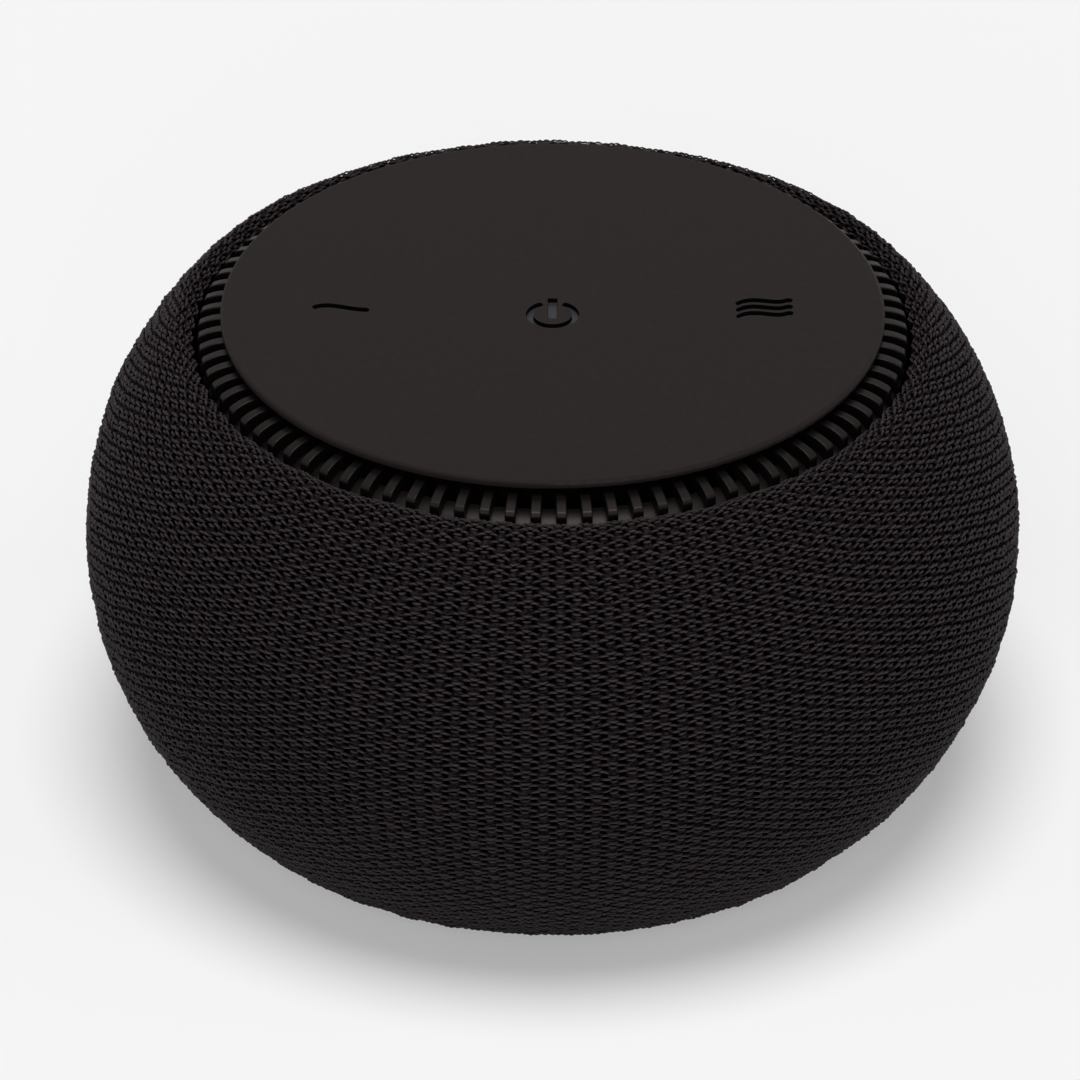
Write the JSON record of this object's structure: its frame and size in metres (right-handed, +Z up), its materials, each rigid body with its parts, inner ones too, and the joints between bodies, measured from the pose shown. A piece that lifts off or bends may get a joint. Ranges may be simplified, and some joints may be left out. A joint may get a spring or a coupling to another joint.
{
  "type": "white noise sound machine",
  "caption": "Round knit-covered fan sound machine with a flat touch panel held over a ring of fine ribs; the knit-covered shell twists on the fixed core to change the tone.",
  "frame": {"origin": "on the floor, on the axis of the round body", "axes": "+Z up along the body's axis, -Y towards the front (the side the signs are read from), +X to the right, inlet at the rear (+Y)"},
  "size_m": [0.14, 0.14, 0.079],
  "materials": {
    "knit": "warp knit polyester",
    "panel": "fine matte soft-touch",
    "grille": "satin moulded",
    "sign_film": "smoked translucent",
    "shell_plastic": "moulded",
    "core_plastic": "moulded",
    "base_plastic": "moulded",
    "foot_rubber": "matte",
    "slide_plastic": "natural acetal",
    "impeller_plastic": "moulded",
    "steel": "zinc plated",
    "lamination": "stacked sheet",
    "bronze": "sintered",
    "copper": "enamelled wire",
    "magnet": "ferrite",
    "board": "solder mask",
    "chip": "moulded package",
    "flex": "polyimide film",
    "wire": "jacketed lead",
    "grommet_rubber": "soft",
    "led": "diffused"
  },
  "bodies": {
    "core": {"foot_pads": "foot_rubber", "base_plate": "base_plastic", "base_screws": "steel", "glide_ring": "slide_plastic", "dc_inlet": "chip", "core_housing": "core_plastic", "core_lid": "core_plastic", "lid_screws": "steel", "motor_bracket": "steel", "isolation_grommets": "grommet_rubber", "motor_screws": "steel", "bearing_tube": "bronze", "sleeve_bearing": "bronze", "motor_board": "board", "stator_core": "lamination", "stator_windings": "copper", "main_board": "board", "board_screws": "steel", "board_parts": "chip", "vent_ring": "grille", "panel_carrier": "core_plastic", "carrier_screws": "steel", "touch_board": "board", "touch_leds": "led", "touch_panel": "panel", "light_guide": "sign_film", "power_lead": "wire", "motor_lead": "wire", "touch_ribbon": "flex"},
    "shell": {"outer_shell": "shell_plastic", "hem_ring": "shell_plastic", "tone_drum": "core_plastic", "drum_screws": "steel", "knit_sleeve": "knit"},
    "fan": {"rotor_cup": "steel", "rotor_magnet": "magnet", "motor_shaft": "steel", "shaft_clip": "steel", "fan_impeller": "impeller_plastic"}
  },
  "joints": [
    {"name": "shell_twist", "type": "hinge", "parent": "core", "child": "shell", "pos_m": [0, 0, 0.011], "axis": [0, 0, 1], "range_deg": [0, 30]},
    {"name": "fan_spin", "type": "hinge", "parent": "core", "child": "fan", "pos_m": [0, 0, 0.04], "axis": [0, 0, 1], "continuous": true}
  ]
}
